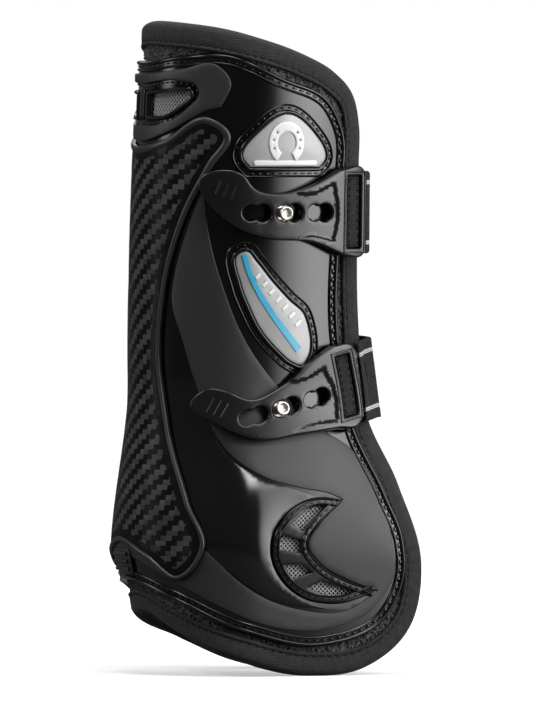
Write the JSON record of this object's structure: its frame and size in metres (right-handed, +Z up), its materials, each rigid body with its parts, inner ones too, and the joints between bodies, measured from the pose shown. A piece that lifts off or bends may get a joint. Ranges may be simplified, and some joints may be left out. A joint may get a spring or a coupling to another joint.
{
  "type": "tendon boot",
  "caption": "Open-front tendon boot for a horse: moulded shell round the back of the leg, padded lining, hooked closures on elastic straps",
  "frame": {"origin": "centre of the overall bounding box in plan, at the boot's lowest point", "axes": "+Z up the leg, +X to the open front of the leg, -Y to the outer side with the studs"},
  "size_m": [0.1152, 0.0986, 0.2613],
  "materials": {
    "gloss_tpu": "gloss black moulded TPU with matte panels",
    "satin_tpu": "satin black moulded TPU",
    "carbon_weave": "black twill carbon weave under clear TPU",
    "badge_silver": "satin silver printed TPU with a blue stripe",
    "wire_mesh": "fine woven steel wire",
    "nickel": "warm nickel plate",
    "gel": "soft smoked gel",
    "neoprene": "black perforated neoprene with a knitted face",
    "binding_tape": "black ribbed binding tape",
    "elastic_web": "black woven elastic with two light stripes"
  },
  "bodies": {
    "boot": {"outer_shell": "gloss_tpu", "carbon_back_panel": "carbon_weave", "top_vent_panel": "satin_tpu", "heel_vent": "satin_tpu", "top_vent_mesh_outer": "wire_mesh", "top_vent_mesh_inner": "wire_mesh", "fetlock_vent_mesh_outer": "wire_mesh", "fetlock_vent_mesh_inner": "wire_mesh", "fetlock_vent_grille_outer": "satin_tpu", "fetlock_vent_grille_inner": "satin_tpu", "upper_badge": "badge_silver", "side_badge": "badge_silver", "gel_insert": "gel", "neoprene_lining": "neoprene", "edge_binding": "binding_tape", "tendon_pad": "gel", "upper_stud": "nickel", "upper_tee_nut": "nickel", "upper_anchor_plate": "satin_tpu", "upper_anchor_rivet_top": "nickel", "upper_anchor_rivet_bottom": "nickel", "lower_stud": "nickel", "lower_tee_nut": "nickel", "lower_anchor_plate": "satin_tpu", "lower_anchor_rivet_top": "nickel", "lower_anchor_rivet_bottom": "nickel"},
    "upper_band": {"upper_elastic": "elastic_web"},
    "upper_closure_body": {"upper_closure": "satin_tpu", "upper_elastic_end": "elastic_web"},
    "lower_band": {"lower_elastic": "elastic_web"},
    "lower_closure_body": {"lower_closure": "satin_tpu", "lower_elastic_end": "elastic_web"}
  },
  "joints": [
    {"name": "upper_strap_pull", "type": "slide", "parent": "boot", "child": "upper_band", "axis": [-0.9882, -0.1531, -0.0007], "range_m": [0, 0.0046], "deforming": ["upper_elastic"]},
    {"name": "upper_closure_swing", "type": "hinge", "parent": "upper_band", "child": "upper_closure_body", "pos_m": [0.03462, -0.03412, 0.18471], "axis": [0, -0.038, 0.9993], "range_deg": [0, 150], "deforming": ["upper_elastic"]},
    {"name": "lower_strap_pull", "type": "slide", "parent": "boot", "child": "lower_band", "axis": [-0.9551, -0.1567, -0.2515], "range_m": [0, 0.0046], "deforming": ["lower_elastic"]},
    {"name": "lower_closure_swing", "type": "hinge", "parent": "lower_band", "child": "lower_closure_body", "pos_m": [0.03432, -0.03407, 0.11659], "axis": [-0.2702, 0.1161, 0.9558], "range_deg": [0, 140], "deforming": ["lower_elastic"]}
  ]
}
